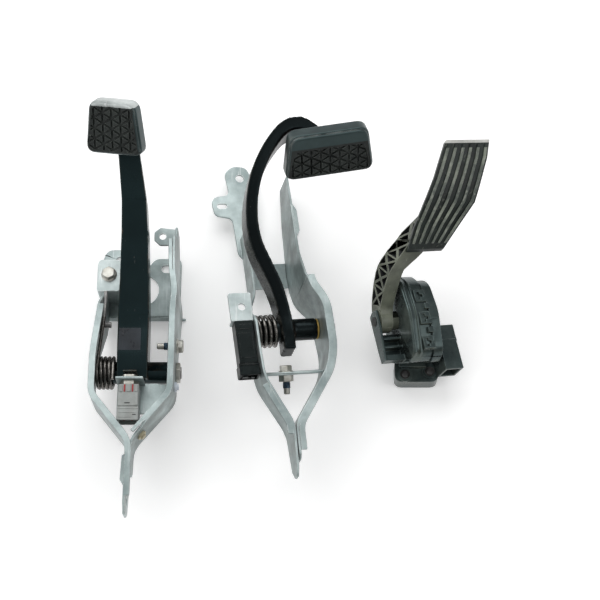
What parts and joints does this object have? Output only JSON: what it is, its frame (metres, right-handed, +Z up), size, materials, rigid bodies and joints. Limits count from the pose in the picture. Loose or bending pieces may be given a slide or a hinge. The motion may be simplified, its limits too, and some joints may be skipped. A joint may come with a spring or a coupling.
{
  "type": "pedal box",
  "caption": "Pedal box with a clutch, a brake and an accelerator unit: sprung pedals hinged in pressed steel brackets, with switches and a sensor housing.",
  "frame": {"origin": "centre of the box around the three units, on the surface they lie on", "axes": "+X along the row from the clutch to the accelerator, +Y from the bracket tails to the pads, +Z up from the surface, which is away from the bulkhead"},
  "size_m": [0.3973, 0.3972, 0.1771],
  "materials": {
    "zinc_plate": "zinc plated, light bluish grey, satin",
    "fastener_steel": "plated fasteners, satin",
    "spring_steel": "oiled spring wire",
    "black_paint": "gloss black paint with worn brownish edges",
    "pad_rubber": "dusty dark grey rubber",
    "cream_plastic": "cream nylon",
    "bush_brass": "yellow bearing bush",
    "light_grey_plastic": "light grey switch plastic",
    "red_plastic": "red strips",
    "white_plastic": "white clip plastic",
    "black_plastic": "black switch plastic",
    "olive_plastic": "olive grey filled plastic",
    "tread_plastic": "grey green ribbed plastic with lit ribs",
    "dark_plastic": "dark grey filled plastic",
    "magnet": "dark bonded magnet",
    "board": "green circuit board",
    "contact_brass": "plated contacts"
  },
  "bodies": {
    "brackets": {"clutch_left_plate": "zinc_plate", "clutch_right_plate": "zinc_plate", "clutch_bulkhead_plate": "zinc_plate", "clutch_screw_seat": "zinc_plate", "clutch_seat_screw": "fastener_steel", "clutch_pivot_bolt": "fastener_steel", "clutch_pivot_nut": "fastener_steel", "clutch_return_spring": "spring_steel", "clutch_spring_anchor": "spring_steel", "clutch_stop_screw": "fastener_steel", "clutch_switch_bracket": "zinc_plate", "clutch_switch_body": "light_grey_plastic", "clutch_switch_terminals": "red_plastic", "clutch_switch_nuts": "fastener_steel", "clutch_side_clip": "white_plastic", "clutch_tail_clip": "cream_plastic", "brake_left_plate": "zinc_plate", "brake_right_plate": "zinc_plate", "brake_bridge": "zinc_plate", "brake_pivot_bolt": "fastener_steel", "brake_pivot_nut": "fastener_steel", "brake_return_spring": "spring_steel", "brake_cross_strap": "zinc_plate", "brake_strap_screw": "fastener_steel", "brake_strap_nut": "fastener_steel", "brake_switch_bracket": "zinc_plate", "brake_switch_body": "black_plastic", "accel_housing": "dark_plastic", "accel_sleeves": "fastener_steel", "accel_cover": "dark_plastic", "accel_shaft": "fastener_steel", "accel_sensor_board": "board", "accel_terminals": "contact_brass", "accel_return_springs": "spring_steel", "accel_spring_seat": "cream_plastic"},
    "clutch_pedal": {"clutch_arm": "black_paint", "clutch_bushes": "cream_plastic", "clutch_pad_plate": "black_paint", "clutch_pad_rubber": "pad_rubber"},
    "brake_pedal": {"brake_arm": "black_paint", "brake_bushes": "bush_brass", "brake_pad_plate": "black_paint", "brake_pad_rubber": "pad_rubber"},
    "accel_pedal": {"accel_arm": "olive_plastic", "accel_tread": "tread_plastic", "accel_magnet": "magnet"},
    "clutch_plunger": {"clutch_switch_plunger": "cream_plastic"},
    "brake_plunger": {"brake_switch_plunger": "white_plastic"}
  },
  "joints": [
    {"name": "clutch_hinge", "type": "hinge", "parent": "brackets", "child": "clutch_pedal", "pos_m": [-0.1516, -0.0486, 0.045], "axis": [-1, 0, 0], "range_deg": [0, 25], "stiffness_Nm_per_rad": 3, "springref_deg": -34.38, "deforming": ["clutch_return_spring"]},
    {"name": "brake_hinge", "type": "hinge", "parent": "brackets", "child": "brake_pedal", "pos_m": [-0.0026, -0.0066, 0.05296], "axis": [-0.9686, -0.1361, 0.2079], "range_deg": [0, 18], "stiffness_Nm_per_rad": 3.5, "springref_deg": -34.38, "deforming": ["brake_return_spring"]},
    {"name": "accelerator_hinge", "type": "hinge", "parent": "brackets", "child": "accel_pedal", "pos_m": [0.1004, 0.0054, 0.048], "axis": [-0.9192, -0.1954, 0.342], "range_deg": [0, 16], "stiffness_Nm_per_rad": 1, "springref_deg": -22.92, "deforming": ["accel_return_springs"]},
    {"name": "clutch_plunger_slide", "type": "slide", "parent": "brackets", "child": "clutch_plunger", "axis": [0, -1, 0], "range_m": [0, 0.003], "stiffness_N_per_m": 300, "springref_m": -0.003},
    {"name": "brake_plunger_slide", "type": "slide", "parent": "brackets", "child": "brake_plunger", "axis": [0.1392, -0.9903, 0], "range_m": [0, 0.003], "stiffness_N_per_m": 300, "springref_m": -0.003}
  ]
}
